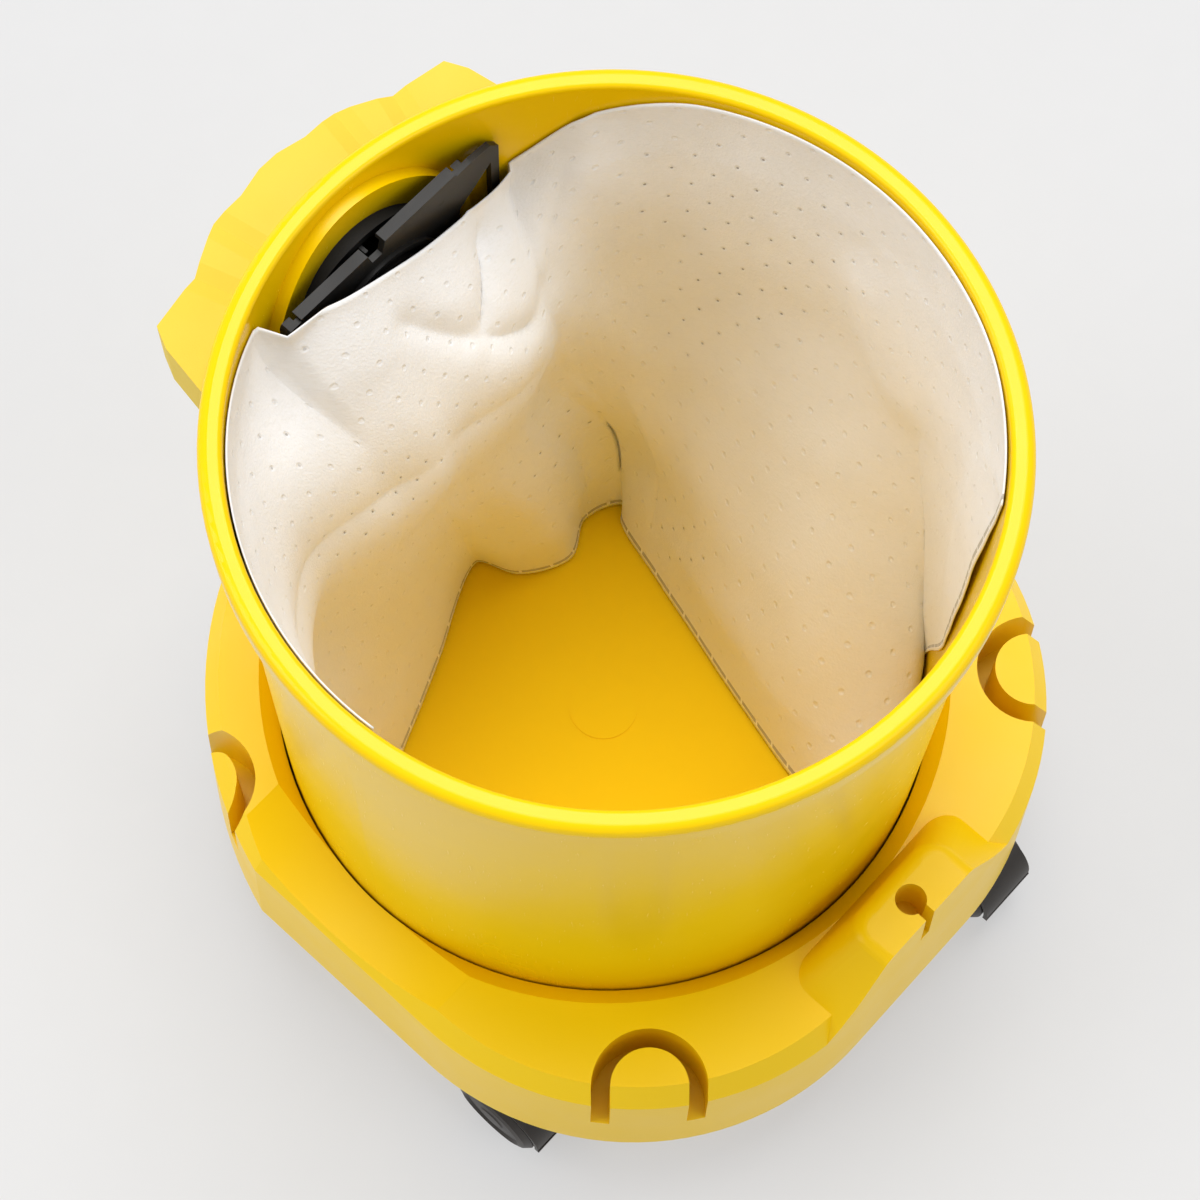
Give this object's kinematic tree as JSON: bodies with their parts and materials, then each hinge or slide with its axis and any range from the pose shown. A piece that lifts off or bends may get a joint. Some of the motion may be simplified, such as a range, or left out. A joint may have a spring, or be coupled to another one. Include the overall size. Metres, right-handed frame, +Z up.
{
  "type": "shop vacuum",
  "caption": "Open wet and dry shop vacuum container on a castor chassis with tool-parking grooves, hose inlet and fitted fleece filter bag.",
  "frame": {"origin": "on the floor, on the container's axis", "axes": "+Z up, -Y out of the hose inlet, +Y towards the tool hump"},
  "size_m": [0.384, 0.4199, 0.412],
  "materials": {
    "tank_yellow": "gloss",
    "collar_yellow": "satin",
    "black_plastic": "satin",
    "wheel_black": "satin",
    "rubber": "matt",
    "steel": "zinc plated",
    "fleece": "soft non-woven"
  },
  "bodies": {
    "root": {"container": "tank_yellow", "chassis": "tank_yellow", "chassis_screws": "steel", "front_collar": "collar_yellow", "inlet_port": "black_plastic", "port_seal": "rubber", "port_clips": "black_plastic", "filter_bag": "fleece"},
    "filter_mouth": {"filter_flange": "black_plastic", "flange_seal": "rubber"},
    "castor_rear_right": {"castor_body_rear_right": "black_plastic", "castor_stem_rear_right": "steel", "castor_axle_rear_right": "steel"},
    "wheel_a_rear_right": {"castor_wheel_a_rear_right": "wheel_black"},
    "wheel_b_rear_right": {"castor_wheel_b_rear_right": "wheel_black"},
    "castor_rear_left": {"castor_body_rear_left": "black_plastic", "castor_stem_rear_left": "steel", "castor_axle_rear_left": "steel"},
    "wheel_a_rear_left": {"castor_wheel_a_rear_left": "wheel_black"},
    "wheel_b_rear_left": {"castor_wheel_b_rear_left": "wheel_black"},
    "castor_front_left": {"castor_body_front_left": "black_plastic", "castor_stem_front_left": "steel", "castor_axle_front_left": "steel"},
    "wheel_a_front_left": {"castor_wheel_a_front_left": "wheel_black"},
    "wheel_b_front_left": {"castor_wheel_b_front_left": "wheel_black"},
    "castor_front_right": {"castor_body_front_right": "black_plastic", "castor_stem_front_right": "steel", "castor_axle_front_right": "steel"},
    "wheel_a_front_right": {"castor_wheel_a_front_right": "wheel_black"},
    "wheel_b_front_right": {"castor_wheel_b_front_right": "wheel_black"}
  },
  "joints": [
    {"name": "filter_release", "type": "slide", "parent": "root", "child": "filter_mouth", "axis": [0, 1, 0], "range_m": [0, 0.018]},
    {"name": "swivel_rear_right", "type": "hinge", "parent": "root", "child": "castor_rear_right", "pos_m": [0.16585, 0.07734, 0.06], "axis": [0, 0, 1], "continuous": true},
    {"name": "spin_a_rear_right", "type": "hinge", "parent": "castor_rear_right", "child": "wheel_a_rear_right", "pos_m": [0.16585, 0.09534, 0.025], "axis": [1, 0, 0], "continuous": true},
    {"name": "spin_b_rear_right", "type": "hinge", "parent": "castor_rear_right", "child": "wheel_b_rear_right", "pos_m": [0.16585, 0.09534, 0.025], "axis": [1, 0, 0], "continuous": true},
    {"name": "swivel_rear_left", "type": "hinge", "parent": "root", "child": "castor_rear_left", "pos_m": [-0.07734, 0.16585, 0.06], "axis": [0, 0, 1], "continuous": true},
    {"name": "spin_a_rear_left", "type": "hinge", "parent": "castor_rear_left", "child": "wheel_a_rear_left", "pos_m": [-0.07734, 0.18385, 0.025], "axis": [1, 0, 0], "continuous": true},
    {"name": "spin_b_rear_left", "type": "hinge", "parent": "castor_rear_left", "child": "wheel_b_rear_left", "pos_m": [-0.07734, 0.18385, 0.025], "axis": [1, 0, 0], "continuous": true},
    {"name": "swivel_front_left", "type": "hinge", "parent": "root", "child": "castor_front_left", "pos_m": [-0.16585, -0.07734, 0.06], "axis": [0, 0, 1], "continuous": true},
    {"name": "spin_a_front_left", "type": "hinge", "parent": "castor_front_left", "child": "wheel_a_front_left", "pos_m": [-0.16585, -0.05934, 0.025], "axis": [1, 0, 0], "continuous": true},
    {"name": "spin_b_front_left", "type": "hinge", "parent": "castor_front_left", "child": "wheel_b_front_left", "pos_m": [-0.16585, -0.05934, 0.025], "axis": [1, 0, 0], "continuous": true},
    {"name": "swivel_front_right", "type": "hinge", "parent": "root", "child": "castor_front_right", "pos_m": [0.07734, -0.16585, 0.06], "axis": [0, 0, 1], "continuous": true},
    {"name": "spin_a_front_right", "type": "hinge", "parent": "castor_front_right", "child": "wheel_a_front_right", "pos_m": [0.07734, -0.14785, 0.025], "axis": [1, 0, 0], "continuous": true},
    {"name": "spin_b_front_right", "type": "hinge", "parent": "castor_front_right", "child": "wheel_b_front_right", "pos_m": [0.07734, -0.14785, 0.025], "axis": [1, 0, 0], "continuous": true}
  ]
}
